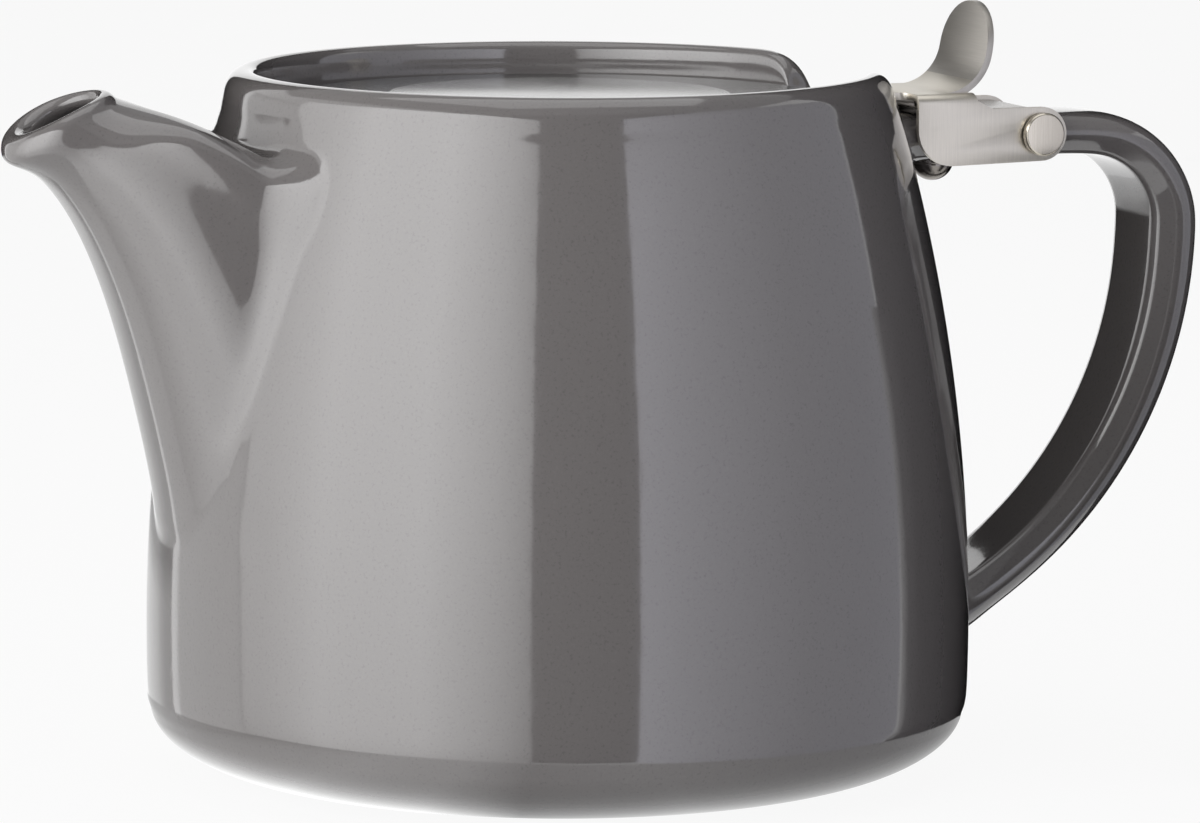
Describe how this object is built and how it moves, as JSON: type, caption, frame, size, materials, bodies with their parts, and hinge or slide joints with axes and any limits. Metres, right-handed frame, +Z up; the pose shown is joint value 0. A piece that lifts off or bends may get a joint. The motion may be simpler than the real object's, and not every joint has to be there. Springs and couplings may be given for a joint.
{
  "type": "ceramic infuser teapot",
  "caption": "Low round teapot in glazed grey ceramic with a broad spout and strap handle, a hinged steel lid with a thumb lever and a perforated steel infuser hanging in its rim",
  "frame": {"origin": "on the upright axis of the round body, in the plane of the foot ring", "axes": "+X through the handle and the lid hinge, the spout towards -X; +Z up; +Y completes the right-handed set"},
  "size_m": [0.1676, 0.109, 0.1003],
  "materials": {
    "glazed_body": "glossy warm mid grey glaze with a fine speckle",
    "infuser_steel": "satin drawn and perforated stainless sheet",
    "lid_steel": "brushed stainless sheet, lid face smoother",
    "hinge_steel": "turned and polished stainless"
  },
  "bodies": {
    "pot": {"pot": "glazed_body", "infuser_ring": "infuser_steel", "infuser_sleeve": "infuser_steel", "infuser_base": "infuser_steel", "hinge_saddle": "hinge_steel", "hinge_pin": "hinge_steel", "pin_cap": "hinge_steel", "saddle_rivet": "hinge_steel", "rivet_washer": "hinge_steel"},
    "lid": {"lid_disc": "lid_steel", "lid_lever": "lid_steel"}
  },
  "joints": [
    {"name": "lid_hinge", "type": "hinge", "parent": "pot", "child": "lid", "pos_m": [0.06558, 0, 0.083], "axis": [0, 1, 0], "range_deg": [0, 95]}
  ]
}
